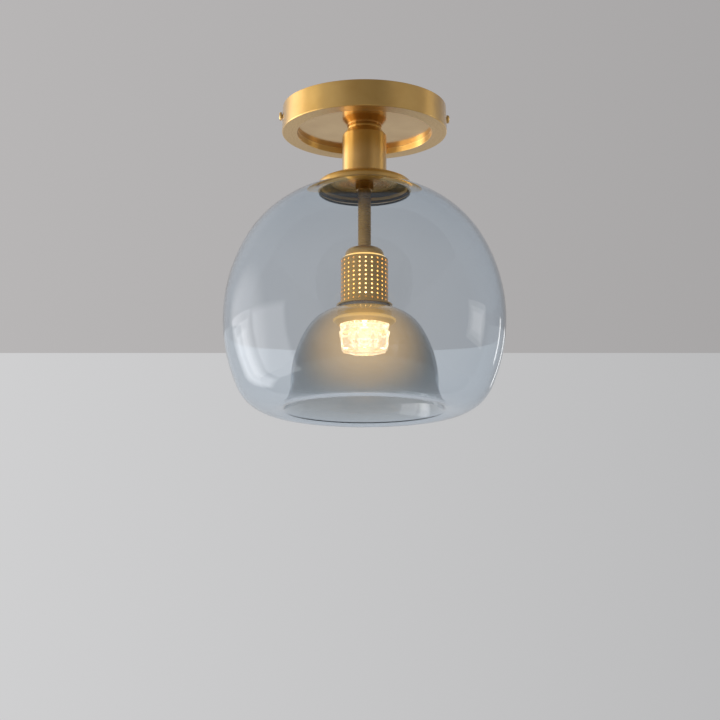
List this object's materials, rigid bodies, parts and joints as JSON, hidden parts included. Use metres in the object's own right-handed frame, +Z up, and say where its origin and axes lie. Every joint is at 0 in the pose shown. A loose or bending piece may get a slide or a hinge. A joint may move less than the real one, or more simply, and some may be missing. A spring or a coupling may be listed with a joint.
{
  "type": "semi flush ceiling light",
  "caption": "Semi flush ceiling light: round brass canopy and neck, smoked glass globe folded up into an inner bell, perforated lamp holder and cut crystal lens.",
  "frame": {"origin": "centre of the crossbar's top face, on the ceiling", "axes": "+Z up into the ceiling; X runs along the crossbar through the two side screws; the picture is taken from the -Y side"},
  "size_m": [0.251, 0.251, 0.2805],
  "materials": {
    "satin_brass": "satin brushed",
    "polished_brass": "polished, lacquered",
    "aged_brass": "satin, darker tone",
    "smoked_glass": "clear smoked blown glass",
    "crystal": "cut clear crystal",
    "lamp_envelope": "clear capsule glass",
    "light_source": "glowing warm white phosphor",
    "zinc_steel": "zinc plated",
    "clear_silicone": "translucent silicone",
    "dark_rubber": "matte rubber",
    "ceramic": "white steatite ceramic",
    "white_plastic": "moulded polyamide",
    "brown_lead": "insulated lead",
    "blue_lead": "insulated lead",
    "earth_green": "insulated lead"
  },
  "bodies": {
    "fixture": {"ceiling_bracket": "zinc_steel", "canopy": "satin_brass", "threaded_tube": "zinc_steel", "lock_washer": "zinc_steel", "earth_tag": "polished_brass", "canopy_nut": "zinc_steel", "earth_screw": "zinc_steel", "terminal_block": "white_plastic", "terminal_screws": "zinc_steel", "neck": "satin_brass", "glass_cap": "satin_brass", "cap_liner": "dark_rubber", "cap_seal": "dark_rubber", "cap_stiffener": "aged_brass", "stem_nut": "aged_brass", "stem": "aged_brass", "holder_cap": "satin_brass", "holder_sleeve": "satin_brass", "holder_saddle": "zinc_steel", "holder_nut": "zinc_steel", "lamp_socket": "ceramic", "socket_screws": "zinc_steel", "holder_flange": "aged_brass", "upper_seal": "clear_silicone", "live_lead": "brown_lead", "neutral_lead": "blue_lead", "earth_lead": "earth_green"},
    "left_screw": {"canopy_screw_left": "satin_brass"},
    "right_screw": {"canopy_screw_right": "satin_brass"},
    "capsule": {"lamp_pins": "zinc_steel", "lamp_base": "ceramic", "lamp_glass": "lamp_envelope", "lamp_core": "light_source"},
    "shade": {"glass_shade": "smoked_glass"},
    "lens": {"lower_seal": "clear_silicone", "retaining_ring": "satin_brass", "crystal_lens": "crystal"}
  },
  "joints": [
    {"name": "left_screw_turn", "type": "hinge", "parent": "fixture", "child": "left_screw", "pos_m": [-0.075, 0, -0.009], "axis": [-1, 0, 0], "continuous": true},
    {"name": "right_screw_turn", "type": "hinge", "parent": "fixture", "child": "right_screw", "pos_m": [0.075, 0, -0.009], "axis": [1, 0, 0], "continuous": true},
    {"name": "capsule_pull", "type": "slide", "parent": "fixture", "child": "capsule", "axis": [0, 0, -1], "range_m": [0, 0.012]},
    {"name": "shade_drop", "type": "slide", "parent": "fixture", "child": "shade", "axis": [0, 0, -1], "range_m": [0, 0.22]},
    {"name": "ring_turn", "type": "hinge", "parent": "shade", "child": "lens", "pos_m": [0, 0, -0.2], "axis": [0, 0, 1], "continuous": true}
  ]
}
